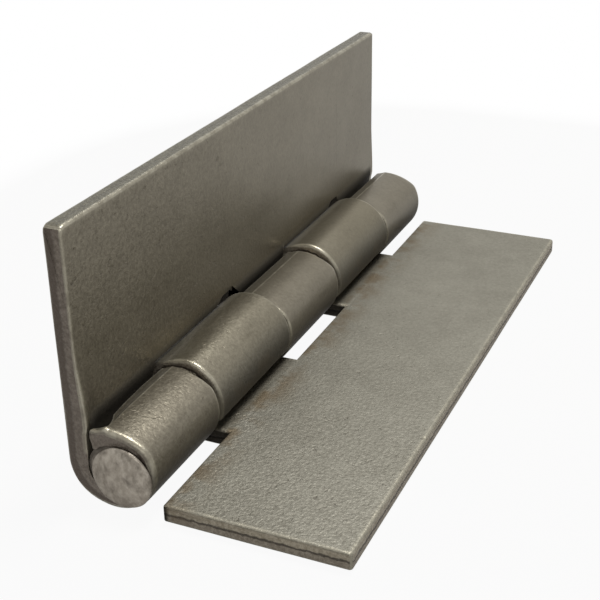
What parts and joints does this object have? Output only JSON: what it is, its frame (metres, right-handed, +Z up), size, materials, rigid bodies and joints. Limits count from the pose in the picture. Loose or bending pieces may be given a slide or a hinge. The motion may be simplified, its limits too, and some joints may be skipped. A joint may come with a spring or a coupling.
{
  "type": "flat butt hinge",
  "caption": "Weld-on butt hinge in bare rolled steel: a flat leaf and an upright leaf with rolled, interleaved knuckles swing on a fixed, staked pin.",
  "frame": {"origin": "middle of the flat leaf's weld face, on the surface that the leaf is fixed to", "axes": "+X from the pin towards the flat leaf's free edge, +Y along the pin away from its staked head, +Z up from the weld face, the way the upright leaf stands"},
  "size_m": [0.0384, 0.101, 0.0378],
  "materials": {
    "leaf_steel": "bare mill-finish rolled steel, fine pitted grain, edges worn bright",
    "pin_steel": "bare steel rod, burnished where the head is staked over"
  },
  "bodies": {
    "flat_side": {"flat_leaf": "leaf_steel"},
    "upright_side": {"upright_leaf": "leaf_steel", "hinge_pin": "pin_steel"}
  },
  "joints": [
    {"name": "leaf_swing", "type": "hinge", "parent": "flat_side", "child": "upright_side", "pos_m": [-0.01963, 0, 0.0062], "axis": [0, -1, 0], "range_deg": [-103, 150]}
  ]
}
